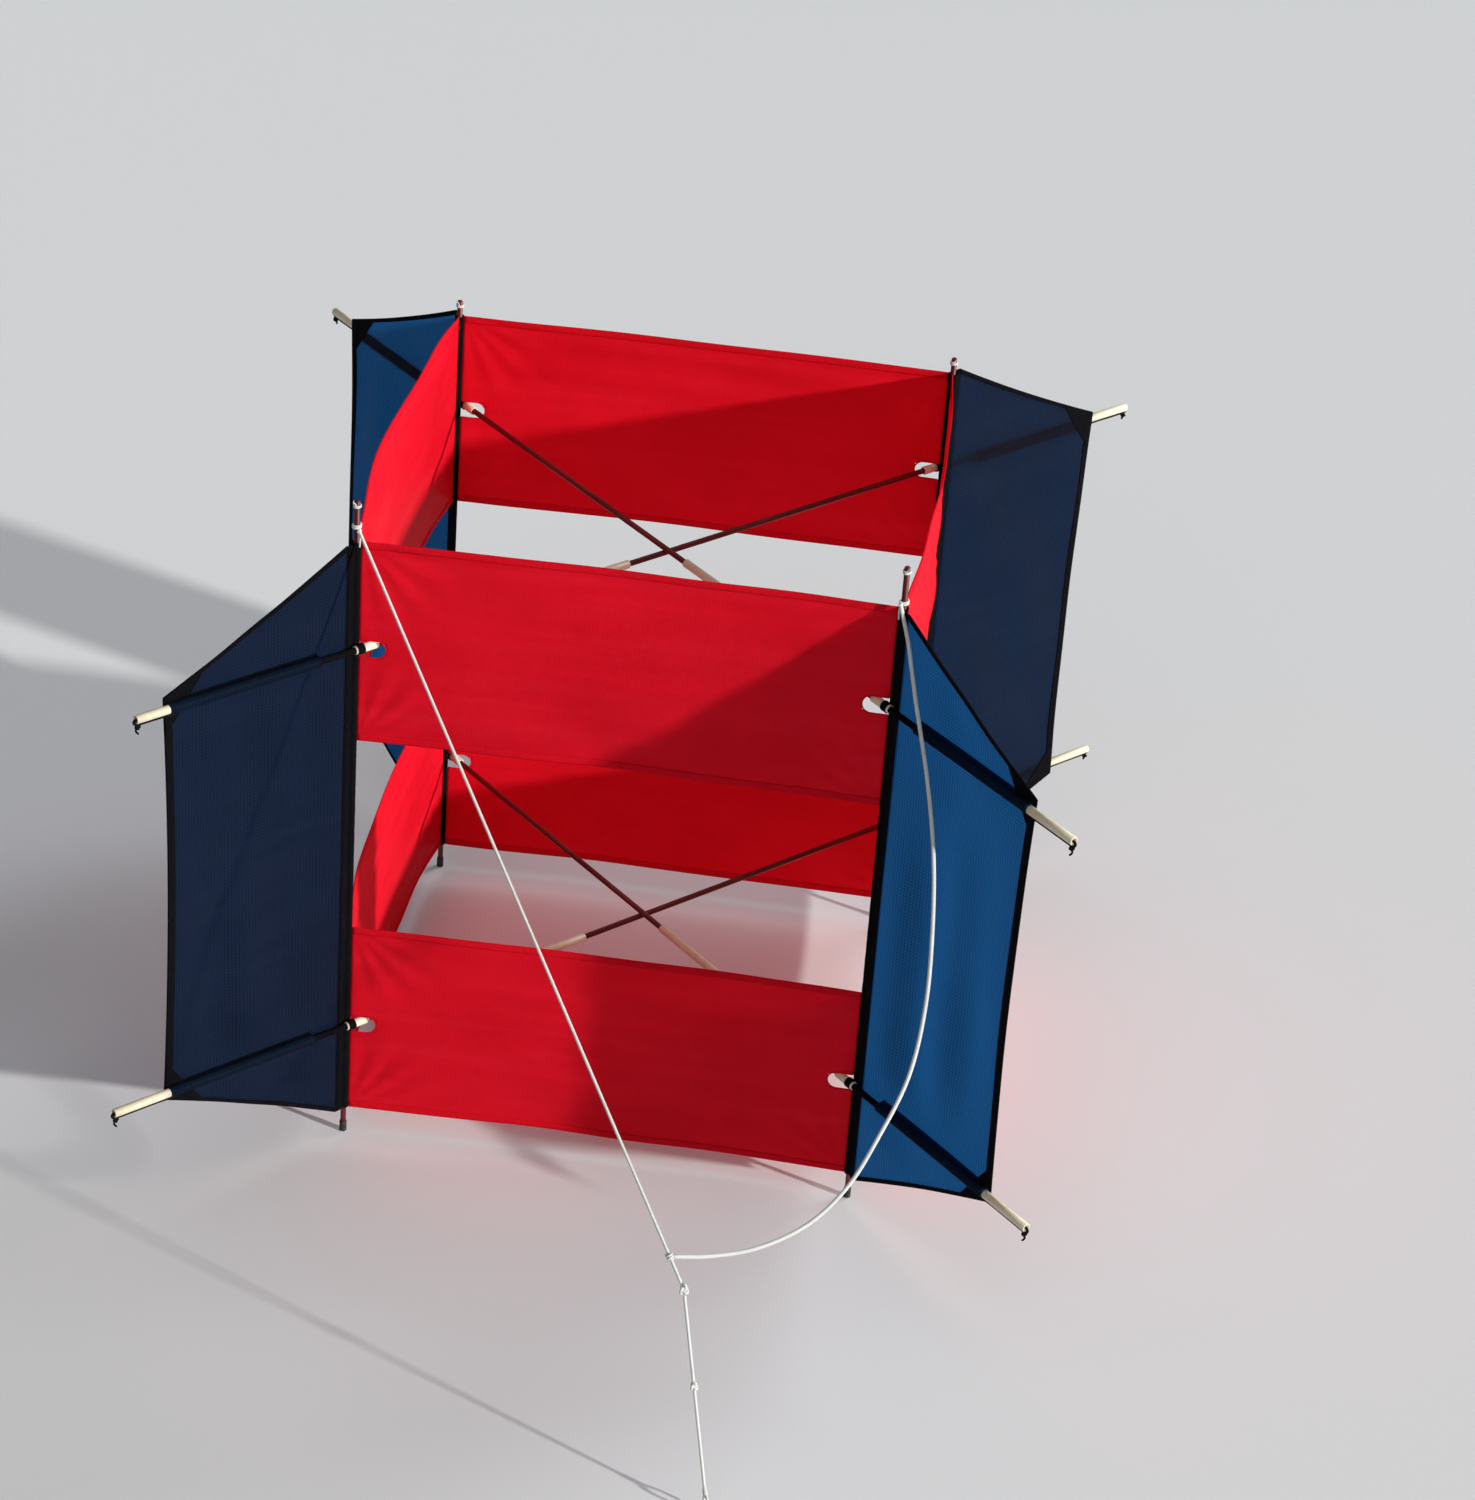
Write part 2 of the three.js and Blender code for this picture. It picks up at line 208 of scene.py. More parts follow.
def path_frames(path):
    """Two steady cross directions along a path."""
    tangents = np.gradient(path, axis=0)
    tangents /= np.linalg.norm(tangents, axis=1, keepdims=True) + 1e-12
    side, _ = cross_directions(tangents[0])
    sides = []
    for tangent in tangents:
        side = side - tangent * np.dot(side, tangent)
        side = side / np.linalg.norm(side)
        sides.append(side)
    sides = np.array(sides)
    return sides, np.cross(tangents, sides)


def tube_faces(rings, sides, closed=False):
    """Faces between rings of points, and from the last ring to the first if it closes."""
    faces = []
    for i in range(rings if closed else rings - 1):
        step = ((i + 1) % rings - i) * sides
        for j in range(sides):
            a, b = i * sides + j, i * sides + (j + 1) % sides
            faces.append((a, b, b + step, a + step))
    return faces


def sweep(name, path, radius, sides, closed=False):
    """Round cord or tube along a path, with rounded ends unless it closes on itself."""
    path = np.asarray(path, float)
    radii = np.full(len(path), float(radius))
    if not closed:
        head, tail = path[0] - path[1], path[-1] - path[-2]
        head /= np.linalg.norm(head)
        tail /= np.linalg.norm(tail)
        swell = np.radians([30, 60, 88])
        first = [path[0] + head * radii[0] * math.sin(a) * 0.6 for a in swell[::-1]]
        last = [path[-1] + tail * radii[-1] * math.sin(a) * 0.6 for a in swell]
        radii = np.concatenate([
            radii[0] * np.cos(swell[::-1]), radii, radii[-1] * np.cos(swell)])
        path = np.concatenate([first, path, last])
    side, up = path_frames(path)
    angles = np.arange(sides) * 2 * math.pi / sides
    turn = angles[None, :, None]
    circle = np.cos(turn) * side[:, None] + np.sin(turn) * up[:, None]
    points = path[:, None] + circle * radii[:, None, None]
    around, length = angles * float(radius), run_along(path)
    uvs = np.stack(np.broadcast_arrays(around[None], length[:, None]), axis=2).reshape(-1, 2)
    rings = len(path)
    faces = tube_faces(rings, sides, closed)
    if not closed:
        faces.append(tuple(reversed(range(sides))))
        faces.append(tuple(range((rings - 1) * sides, rings * sides)))
    return make_object(name, points.reshape(-1, 3), faces, uvs)


def lathe(name, profile, origin, axis, sides):
    """Turned piece: profile is (radius, distance along axis), closed or ending on the axis."""
    origin, axis = np.asarray(origin, float), np.asarray(axis, float)
    side, up = cross_directions(axis)
    closes = profile[0] == profile[-1]
    rings = profile[:-1] if closes else profile
    vertices, uvs, ring_index = [], [], []
    run = 0.0
    for k, (r, t) in enumerate(rings):
        run += 0 if k == 0 else math.dist(rings[k - 1], rings[k])
        if r < 1e-9:
            ring_index.append([len(vertices)] * sides)
            vertices.append(origin + axis * t)
            uvs.append((0, run))
            continue
        ring_index.append(list(range(len(vertices), len(vertices) + sides)))
        for j in range(sides):
            angle = 2 * math.pi * j / sides
            spoke = side * math.cos(angle) + up * math.sin(angle)
            vertices.append(origin + axis * t + spoke * r)
            uvs.append((angle * TUBE, run))
    faces = []
    total = len(rings)
    for k in range(total if closes else total - 1):
        lower, upper = ring_index[k], ring_index[(k + 1) % total]
        for j in range(sides):
            m = (j + 1) % sides
            corner_points = (lower[j], lower[m], upper[m], upper[j])
            face = tuple(dict.fromkeys(corner_points))
            if len(face) > 2:
                faces.append(face)
    return make_object(name, vertices, faces, uvs)


def between(start, end, t0, t1, t):
    return (t1 - t) / (t1 - t0) * start + (t - t0) / (t1 - t0) * end


def smooth_path(points, spacing):
    """Points at an even spacing along a smooth curve through the given ones."""
    points = np.asarray(points, float)
    p = np.vstack([2 * points[0] - points[1], points, 2 * points[-1] - points[-2]])
    dense = []
    for i in range(1, len(p) - 2):
        gaps = np.linalg.norm(np.diff(p[i - 1:i + 3], axis=0), axis=1) ** 0.5
        knots = np.concatenate([[0], np.cumsum(gaps)])
        for t in np.linspace(knots[1], knots[2], 24, endpoint=False):
            a = [between(p[i - 1 + k], p[i + k], knots[k], knots[k + 1], t) for k in range(3)]
            b = [between(a[k], a[k + 1], knots[k], knots[k + 2], t) for k in range(2)]
            dense.append(between(*b, knots[1], knots[2], t))
    dense.append(points[-1])
    dense = np.array(dense)
    run = run_along(dense)
    count = max(2, int(round(run[-1] / spacing)) + 1)
    wanted = np.linspace(0, run[-1], count)
    return np.stack([np.interp(wanted, run, dense[:, k]) for k in range(3)], axis=1)


def wave(x, y, seed, count=5, low=0.6, high=1.8):
    """Smooth seeded ripples between about -1 and 1, for folds and slack in cloth."""
    random = np.random.default_rng(seed)
    total = np.zeros(np.broadcast(x, y).shape)
    for _ in range(count):
        fx, fy = random.uniform(low, high, 2) * random.choice([-1, 1], 2)
        total = total + np.sin(x * fx + y * fy + random.uniform(0, 6.28))
    return total / count


# ---------------- materials
class Nodes:
    """Short names for building a procedural material round one Principled shader."""

    def __init__(self, name):
        self.material = bpy.data.materials.new(name)
        self.material.use_nodes = True
        self.tree = self.material.node_tree
        self.shader = self.tree.nodes["Principled BSDF"]

    def new(self, kind, **settings):
        node = self.tree.nodes.new(kind)
        for key, value in settings.items():
            setattr(node, key, value)
        return node

    def link(self, source, target):
        self.tree.links.new(source, target)

    def feed(self, socket, value):
        """A colour, a number or another node's output goes into a socket."""
        if isinstance(value, tuple):
            socket.default_value = (*value, 1.0)
        elif isinstance(value, (int, float)):
            socket.default_value = value
        else:
            self.link(value, socket)

    def uv(self):
        """The map of a piece, in metres of material."""
        return self.new("ShaderNodeUVMap", uv_map="cloth").outputs["UV"]

    def parts(self, uv):
        """The map's two parts: u across, v along."""
        split = self.new("ShaderNodeSeparateXYZ")
        self.link(uv, split.inputs[0])
        return split.outputs[0], split.outputs[1]

    def math(self, operation, *values):
        node = self.new("ShaderNodeMath", operation=operation)
        for socket, value in zip(node.inputs, values):
            self.feed(socket, value)
        return node.outputs[0]

    def times(self, a, b):
        return self.math("MULTIPLY", a, b)

    def plus(self, a, b):
        return self.math("ADD", a, b)

    def strands(self, along, pitch):
        """Sine ripple across threads that lie at a pitch."""
        return self.math("SINE", self.times(along, 2 * math.pi / pitch))

    def mix(self, factor, a, b):
        node = self.new("ShaderNodeMix", data_type="RGBA")
        for index, value in ((0, factor), (6, a), (7, b)):
            self.feed(node.inputs[index], value)
        return node.outputs[2]

    def fill(self, node, **inputs):
        """Gives a node some of its inputs by name, with _ for each space."""
        for key, value in inputs.items():
            self.feed(node.inputs[key.replace("_", " ")], value)
        return node

    def noise(self, vector, scale, detail, roughness):
        node = self.new("ShaderNodeTexNoise")
        self.fill(node, Vector=vector, Scale=scale, Detail=detail, Roughness=roughness)
        return node.outputs["Fac"]

    def ramp(self, factor, low, high):
        node = self.new("ShaderNodeMapRange")
        return self.fill(node, Value=factor, From_Min=low, From_Max=high).outputs["Result"]

    def scaled(self, vector, x, y):
        node = self.new("ShaderNodeMapping")
        node.inputs["Scale"].default_value = (x, y, 1.0)
        return self.fill(node, Vector=vector).outputs["Vector"]

    def bump(self, height, strength, distance):
        node = self.new("ShaderNodeBump")
        self.fill(node, Height=height, Strength=strength, Distance=distance)
        self.set(Normal=node.outputs["Normal"])

    def rough(self, pattern, spread, least):
        """Roughness that follows a pattern, from its least value upwards."""
        self.set(Roughness=self.plus(self.times(pattern, spread), least))

    def set(self, **inputs):
        self.fill(self.shader, **inputs)


RIPSTOP_PITCH, RIPSTOP_THREAD, WEAVE_PITCH = 0.005, 0.0007, 0.0006


def thread_grid(nodes, *axes):
    """1 on the thicker threads that make a grid, 0 between them."""
    cells = [nodes.math("FRACT", nodes.math("DIVIDE", axis, RIPSTOP_PITCH)) for axis in axes]
    return nodes.math("MAXIMUM", *(
        nodes.math("LESS_THAN", cell, RIPSTOP_THREAD / RIPSTOP_PITCH) for cell in cells))


def cloth_material(name, colour, shade, light, passes, share, shine):
    """Ripstop nylon: fine weave, a grid of thicker threads, faint creases; a share of light passes."""
    nodes = Nodes(name)
    uv = nodes.uv()
    u, v = nodes.parts(uv)
    grid = thread_grid(nodes, u, v)
    weave = nodes.times(nodes.strands(u, WEAVE_PITCH), nodes.strands(v, WEAVE_PITCH))
    cloud = nodes.noise(uv, 7.0, 4.0, 0.6)
    streak = nodes.noise(nodes.scaled(uv, 2.2, 46.0), 1.0, 3.0, 0.55)
    crease = nodes.noise(nodes.scaled(uv, 30.0, 30.0), 1.0, 5.0, 0.65)
    tone = nodes.mix(nodes.ramp(cloud, 0.32, 0.68), shade, colour)
    tone = nodes.mix(nodes.times(nodes.ramp(streak, 0.45, 0.75), 0.35), tone, light)
    nodes.set(Base_Color=nodes.mix(nodes.times(grid, 0.22), tone, light))
    nodes.rough(crease, 0.25, 0.45)
    nodes.set(Specular_IOR_Level=shine)
    height = nodes.plus(nodes.times(crease, 1.3), nodes.times(grid, 0.12))
    nodes.bump(nodes.plus(height, nodes.times(weave, 0.03)), 0.5, 0.0012)
    through = nodes.new("ShaderNodeBsdfTranslucent")
    nodes.link(nodes.mix(nodes.times(grid, 0.5), passes, shade), through.inputs["Color"])
    mixer = nodes.new("ShaderNodeMixShader")
    mixer.inputs[0].default_value = share
    nodes.link(nodes.shader.outputs[0], mixer.inputs[1])
    nodes.link(through.outputs[0], mixer.inputs[2])
    nodes.link(mixer.outputs[0], nodes.tree.nodes["Material Output"].inputs["Surface"])
    return nodes.material


WARP_PITCH, WEFT_PITCH = 0.0011, 0.0009
STITCH_LENGTH, STITCH_ROWS = 0.0034, 0.0062


def webbing_material(name, colour, light):
    """Close-woven tape or heavy cloth, with rows of stitching along its length (v)."""
    nodes = Nodes(name)
    uv = nodes.uv()
    u, v = nodes.parts(uv)
    weave = nodes.times(nodes.strands(u, WARP_PITCH), nodes.strands(v, WEFT_PITCH))
    fuzz = nodes.noise(uv, 260.0, 3.0, 0.6)
    wear = nodes.noise(uv, 22.0, 4.0, 0.6)
    tone = nodes.mix(nodes.ramp(fuzz, 0.35, 0.75), colour, light)
    tone = nodes.mix(nodes.times(nodes.ramp(wear, 0.5, 0.8), 0.5), tone, light)
    dash = nodes.math("FRACT", nodes.math("DIVIDE", v, STITCH_LENGTH))
    row = nodes.math("FRACT", nodes.math("DIVIDE", u, STITCH_ROWS))
    off_line = nodes.math("ABSOLUTE", nodes.math("SUBTRACT", row, 0.3))
    thread = nodes.times(nodes.math("LESS_THAN", dash, 0.72), nodes.math("LESS_THAN", off_line, 0.075))
    nodes.set(Base_Color=nodes.mix(nodes.times(thread, 0.6), tone, light))
    nodes.set(Roughness=0.88, Specular_IOR_Level=0.02)
    height = nodes.plus(nodes.times(weave, 0.2), nodes.times(fuzz, 0.5))
    nodes.bump(nodes.plus(height, nodes.times(thread, 0.8)), 0.55, 0.0005)
    return nodes.material


def wood_material():
    """Ramin dowel stained red brown: long grain, darker pores, a thin worn varnish."""
    nodes = Nodes("stained_dowel")
    uv = nodes.uv()
    grain = nodes.noise(nodes.scaled(uv, 420.0, 9.0), 1.0, 6.0, 0.6)
    pores = nodes.noise(nodes.scaled(uv, 1500.0, 60.0), 1.0, 2.0, 0.5)
    wear = nodes.noise(uv, 9.0, 3.0, 0.6)
    stain, pale_stain = (0.070, 0.006, 0.007), (0.175, 0.016, 0.016)
    pore, bare_wood = (0.025, 0.003, 0.003), (0.24, 0.045, 0.030)
    tone = nodes.mix(nodes.ramp(grain, 0.3, 0.7), stain, pale_stain)
    tone = nodes.mix(nodes.times(nodes.ramp(pores, 0.58, 0.7), 0.7), tone, pore)
    nodes.set(Base_Color=nodes.mix(nodes.times(nodes.ramp(wear, 0.55, 0.8), 0.35), tone, bare_wood))
    nodes.rough(grain, 0.3, 0.25)
    nodes.set(Coat_Weight=0.08, Coat_Roughness=0.3, Specular_IOR_Level=0.25)
    nodes.bump(nodes.plus(grain, pores), 0.35, 0.0003)
    return nodes.material


def tube_material():
    """Cream PVC tube, slightly yellowed and scuffed, with faint drawing lines along it."""
    nodes = Nodes("cream_tube")
    uv = nodes.uv()
    age = nodes.noise(uv, 60.0, 4.0, 0.6)
    scuff = nodes.noise(nodes.scaled(uv, 900.0, 90.0), 1.0, 4.0, 0.7)
    cream, yellowed, scuffed = (0.80, 0.74, 0.56), (0.66, 0.57, 0.38), (0.30, 0.25, 0.18)
    tone = nodes.mix(nodes.ramp(age, 0.3, 0.7), cream, yellowed)
    nodes.set(Base_Color=nodes.mix(nodes.times(nodes.ramp(scuff, 0.62, 0.8), 0.45), tone, scuffed))
    nodes.rough(scuff, 0.3, 0.25)
    nodes.set(Subsurface_Weight=0.15, Subsurface_Scale=0.002)
    nodes.bump(scuff, 0.25, 0.0003)
    return nodes.material


def cord_material(name, colour, shade, pitch, sheen):
    """Braided line: two sets of strands crossing on the surface, with painted shade in the grooves
    between them.
    """
    nodes = Nodes(name)
    uv = nodes.uv()
    u, v = nodes.parts(uv)
    left = nodes.strands(nodes.plus(u, v), pitch)
    right = nodes.strands(nodes.math("SUBTRACT", u, v), pitch)
    braid = nodes.math("MAXIMUM", left, right)
    dirt = nodes.noise(uv, 30.0, 4.0, 0.6)
    # painted shade: the grooves between the strands are darkened towards the second, shade colour
    tone = nodes.mix(nodes.ramp(braid, -0.3, 0.6), shade, colour)
    # real dirt darkens towards the same shade colour
    nodes.set(Base_Color=nodes.mix(nodes.times(nodes.ramp(dirt, 0.5, 0.8), 0.4), tone, shade))
    nodes.set(Roughness=0.7, Sheen_Weight=sheen, Sheen_Roughness=0.4, Specular_IOR_Level=sheen)
    nodes.bump(braid, 0.6, 0.0004)
    return nodes.material


def rubber_material():
    """Black rubber with dust in its surface."""
    nodes = Nodes("dark_rubber")
    uv = nodes.uv()
    dust = nodes.noise(uv, 180.0, 4.0, 0.6)
    black, dusty = (0.012, 0.012, 0.014), (0.05, 0.045, 0.04)
    nodes.set(Base_Color=nodes.mix(nodes.ramp(dust, 0.45, 0.8), black, dusty))
    nodes.rough(dust, 0.3, 0.5)
    nodes.bump(dust, 0.3, 0.0003)
    return nodes.material


# light crosses both faces of a cloth, so its passing colour acts twice
RED = cloth_material("red_ripstop", (0.82, 0.008, 0.028), (0.70, 0.005, 0.020),
                     (0.92, 0.020, 0.050), (0.93, 0.040, 0.085), 0.42, 0.06)
NAVY = cloth_material("navy_ripstop", (0.0095, 0.0085, 0.014), (0.0075, 0.0065, 0.010),
                      (0.018, 0.017, 0.028), (0.12, 0.43, 0.74), 0.5, 0.05)
POCKET = cloth_material("pocket_cloth", (0.0050, 0.0045, 0.0065), (0.0040, 0.0035, 0.0050),
                        (0.010, 0.009, 0.013), (0.20, 0.50, 0.76), 0.48, 0.03)
BLACK = webbing_material("black_sleeve", (0.0028, 0.0028, 0.0038), (0.007, 0.007, 0.009))
RED_HEM = webbing_material("red_hem", (0.60, 0.003, 0.011), (0.70, 0.008, 0.020))
WOOD = wood_material()
PLASTIC = tube_material()
RUBBER = rubber_material()
# each cord's second colour is the painted shade in its braid's grooves, and also the colour its dirt
# takes
LINE = cord_material("white_line", (0.84, 0.87, 0.83), (0.42, 0.44, 0.42), 0.0016, 0.25)
ELASTIC = cord_material("black_elastic", (0.010, 0.010, 0.012), (0.003, 0.003, 0.004), 0.0012, 0.03)


def line_piece(name, path, radius, sides, nodes=(), closed=False):
    """White cord of the bridle, the line or a binding."""
    return finish_piece(sweep(name, path, radius, sides, closed), LINE, nodes=nodes)


def elastic_piece(name, path, radius, sides, body):
    """Black elastic cord that rides with its spreader."""
    return finish_piece(sweep(name, path, radius, sides), ELASTIC, body)


SMALL_KNOT = 0.0026


# ---------------- longerons, caps and whippings
def rod_profile(start, end, end_edge=DOWEL_EDGE):
    """Half outline of a dowel between two distances along its axis."""
    return [(0, start), (DOWEL - DOWEL_EDGE, start), (DOWEL, start + DOWEL_EDGE),
            (DOWEL, end - end_edge), (DOWEL - end_edge, end), (0, end)]


def longeron(corner):
    """Dowel with a worn top edge."""
    profile = rod_profile(corner.low, corner.top, 2 * DOWEL_EDGE)
    piece = lathe(f"longeron_{corner.name}_dowel", profile, corner.axis, Z, 36)
    finish_piece(piece, WOOD, nodes=[f"longeron_{corner.name}"])


def foot_cap(corner):
    """Moulded cap with a domed lip and a shallow grip ring."""
    low, high = box_of(f"foot_cap_{corner.name}")
    top = high[2]
    r = (high[0] - low[0]) / 2
    bore = DOWEL + 0.0003
    profile = [(0, 0), (r - 0.0008, 0), (r, 0.0008), (r, 0.0040), (r - 0.0005, 0.0046),
               (r - 0.0005, 0.0058), (r, 0.0064), (r, top - 0.0010), (r - 0.0005, top), (bore, top),
               (bore, 0.0015), (0, 0.0015)]
    piece = lathe(f"foot_cap_{corner.name}_moulded", profile, corner.axis, Z, 40)
    finish_piece(piece, RUBBER, nodes=[f"foot_cap_{corner.name}"])


def wraps(centre, axis, core, cord, turns):
    """Points of a tight helix round a rod."""
    side, up = cross_directions(axis)
    turn = np.linspace(0, turns, int(turns * 20))[:, None]
    angle = turn * 2 * math.pi
    rise = (turn - turns / 2) * cord * 2.05
    return centre + (np.cos(angle) * side + np.sin(angle) * up) * (core + cord) + rise * axis


def knot(name, centre, axis, size, cord, nodes=(), material=LINE, body=ROOT):
    """Overhand knot pulled tight, lying across the cord's axis."""
    side, up = cross_directions(axis)
    t = np.linspace(0, 2 * math.pi, 120, endpoint=False)[:, None]
    x = (np.sin(t) + 2 * np.sin(2 * t)) / 3
    y = (np.cos(t) - 2 * np.cos(2 * t)) / 3
    path = centre + x * side * size + y * axis * size * 1.25 - np.sin(3 * t) * up * cord * 1.1
    piece = sweep(name, path, cord, 12, closed=True)
    return finish_piece(piece, material, body, nodes)


def whipping(corner):
    """White cord bound round the top of the longeron, with its two cut ends sticking up."""
    core, cord = DOWEL, 0.0009
    centre = corner.axis + Z * (corner.top - 0.0075)
    coil = wraps(centre, Z, core, cord, 2.5)
    line_piece(f"whipping_{corner.name}", coil, cord, 10)
    for index, lean in enumerate(((1.0, 0.4), (0.2, 1.0))):
        start = coil[-1] if index == 0 else coil[-8]
        away = np.array([lean[0] * corner.x, lean[1] * corner.y, 0.0]) * 0.0045
        tail = smooth_path([start, start + away * 0.5 + Z * 0.003, start + away + Z * 0.005], 0.001)
        line_piece(f"whipping_end_{index}_{corner.name}", tail, cord * 0.8, 8)


# ---------------- sleeves and guard loops
def sleeve(corner):
    """Cloth tube round the longeron with a flat stitched seam flap on the wing's side."""
    rows = int((SAIL_HIGH - SAIL_LOW) / 0.006) + 1
    heights = np.linspace(SAIL_LOW, SAIL_HIGH, rows)
    around = np.linspace(math.radians(38), math.radians(322), 26)
    section = [(SEAM_FLAP, WING_PLANE + CLOTH), (SEAM_FLAP * 0.6, WING_PLANE + CLOTH)]
    section += [(SLEEVE * math.cos(a), SLEEVE * math.sin(a)) for a in around]
    section += [(SEAM_FLAP * 0.6, WING_PLANE - 2 * CLOTH), (SEAM_FLAP, WING_PLANE - CLOTH)]
    section = np.array(section)
    run = run_along(section)
    pucker = wave(np.arange(len(section))[None] * 0.9, heights[:, None] * 160, 11 + corner.x, 6)
    vertices, uvs = [], []
    for i, z in enumerate(heights):
        hem = 0.0004 if min(z - SAIL_LOW, SAIL_HIGH - z) < 0.012 else 0.0
        for k, (reach, beside) in enumerate(section):
            push = 1 + (pucker[i, k] * 0.00025 + hem) / SLEEVE
            sewn = k in (0, len(section) - 1)
            vertices.append(corner.at(reach if sewn else reach * push, beside * push, z))
            uvs.append((run[k], z))
    piece = make_object(f"sleeve_{corner.name}", vertices, tube_faces(rows, len(section)), uvs)
    finish_piece(piece, BLACK, nodes=[f"longeron_sleeve_{corner.name}"])


def guard_loop(corner, cell):
    """Short fabric band that ties the guard tube to the longeron."""
    bore, wall, half = TUBE + 0.0004, 0.0010, 0.0055
    profile = [(bore, -half), (bore + wall * 0.7, -half), (bore + wall, -half + 0.001),
               (bore + wall * 0.8, 0), (bore + wall, half - 0.001), (bore + wall * 0.7, half),
               (bore, half), (bore, -half)]
    piece = lathe(f"guard_loop_{cell}_{corner.name}", profile, corner.rod_origin(cell), corner.out, 36)
    finish_piece(piece, BLACK)


# ---------------- spreaders
def tube_piece(corner, cell, node, body):
    """Cut length of plastic tube, its lips slightly rounded."""
    start, end = corner.reach_of(node)
    lip = 0.0006
    profile = [(TUBE_BORE, start), (TUBE - lip, start), (TUBE, start + lip), (TUBE, end - lip),
               (TUBE - lip, end), (TUBE_BORE, end), (TUBE_BORE, start)]
    piece = lathe(f"{node}_cut", profile, corner.rod_origin(cell), corner.out, 44)
    finish_piece(piece, PLASTIC, body, [node])


def spreader_half(corner, cell):
    """One rod with its tubes, tape and tension cord: all of it slides out together."""
    tag = f"{cell}_{corner.name}"
    body = f"spreader_{tag}"
    for kind in ("guard_tube", "tip_tube", "ferrule"):
        node = f"{kind}_{tag}"
        if node in frame["nodes"]:
            tube_piece(corner, cell, node, body)
    profile = rod_profile(*corner.reach_of(f"spreader_rod_{tag}"))
    rod = lathe(f"spreader_rod_{tag}_dowel", profile, corner.rod_origin(cell), corner.out, 36)
    finish_piece(rod, WOOD, body, [f"spreader_rod_{tag}"])
    rod_binding(corner, cell, body)
    tension_cord(corner, cell, body)


def rod_binding(corner, cell, body):
    """Black tape wound on the rod from its guard tube to just inside its pocket."""
    start = corner.reach_of(f"guard_tube_{cell}_{corner.name}")[1] + 0.0004
    end = corner.reach_of(f"wing_{corner.name}", POCKET_SIDE)[0] + 0.010
    under, over = DOWEL + 0.0001, DOWEL + 0.0006
    turns = int((end - start) / 0.007)
    profile = [(under, start)]
    for turn in range(turns):
        lap = start + (end - start) * turn / turns
        profile += [(over, lap), (over - 0.0002, lap + (end - start) * 0.9 / turns)]
    profile += [(under, end), (under, start)]
    piece = lathe(f"rod_binding_{cell}_{corner.name}", profile, corner.rod_origin(cell), corner.out, 28)
    finish_piece(piece, BLACK, body)


def tension_cord(corner, cell, body):
    """Elastic from the wing corner, under the tip tube, round its open end and tucked inside."""
    radius = 0.0019
    z, beside = corner.rod_z[cell], corner.rod_offset
    drop = TUBE + radius + 0.0002
    tip = corner.reach_of(f"tip_tube_{cell}_{corner.name}")[1]
    route = ((WING_REACH - 0.014, drop + 0.0012), (WING_REACH + 0.012, drop), (tip - 0.012, drop),
             (tip - 0.001, drop * 0.95), (tip + radius * 1.2, drop * 0.66),
             (tip + radius * 1.4, drop * 0.30), (tip + radius * 0.4, 0.0008), (tip - 0.005, 0.0004))
    points = [corner.at(reach, beside, z - below) for reach, below in route]
    path = smooth_path(points, 0.0016)
    elastic_piece(f"tension_cord_{cell}_{corner.name}", path, radius, 12, body)
    under = z - drop - 1.6 * radius
    tied = corner.at(tip - 0.003, beside, under - 0.001)
    knot(f"tension_knot_{cell}_{corner.name}", tied, corner.out, SMALL_KNOT, radius * 0.75,
         material=ELASTIC, body=body)
    tail = [tied, corner.at(tip + 0.001, beside + 0.002, under - 0.004),
            corner.at(tip - 0.002, beside + 0.003, under - 0.009)]
    tail = smooth_path(tail, 0.0012)
    elastic_piece(f"tension_tail_{cell}_{corner.name}", tail, radius * 0.75, 8, body)


# ---------------- red panels
FACES = {
    "front": (np.array([1.0, 0, 0]), np.array([0, -1.0, 0])),
    "right": (np.array([0, 1.0, 0]), np.array([1.0, 0, 0])),
    "back": (np.array([-1.0, 0, 0]), np.array([0, 1.0, 0])),
    "left": (np.array([0, -1.0, 0]), np.array([-1.0, 0, 0])),
}
SEAM = 0.0012  # cloth caught under the sleeve
HEM_WIDTH = 0.010
BULGE = {"front": -0.008, "right": 0.016, "back": 0.005, "left": 0.024}
PULL_LINES, SLACK, EDGE_FLUTTER, CORNER_FANS = 0.0023, 0.0036, 0.0026, 0.0014  # fold heights


def panel_heights(face, cell):
    low, high = box_of(f"panel_{cell}_{face}")
    return low[2], high[2]


def slots_of(face, cell):
    """Each slot's side, the centre of its round end, that centre's height, and its radius."""
    low, high = panel_heights(face, cell)
    points = points_of(f"panel_{cell}_{face}")
    along, z = points @ FACES[face][0], points[:, 2]
    found = []
    for sign in (-1, 1):
        rim = (z > low + 0.001) & (z < high - 0.001) & (sign * along > 0)
        if rim.any():
            radius = float(np.ptp(z[rim])) / 2
            centre = float((sign * along[rim]).min()) + radius
            found.append((sign, sign * centre, float(z[rim].min()) + radius, radius))
    return found


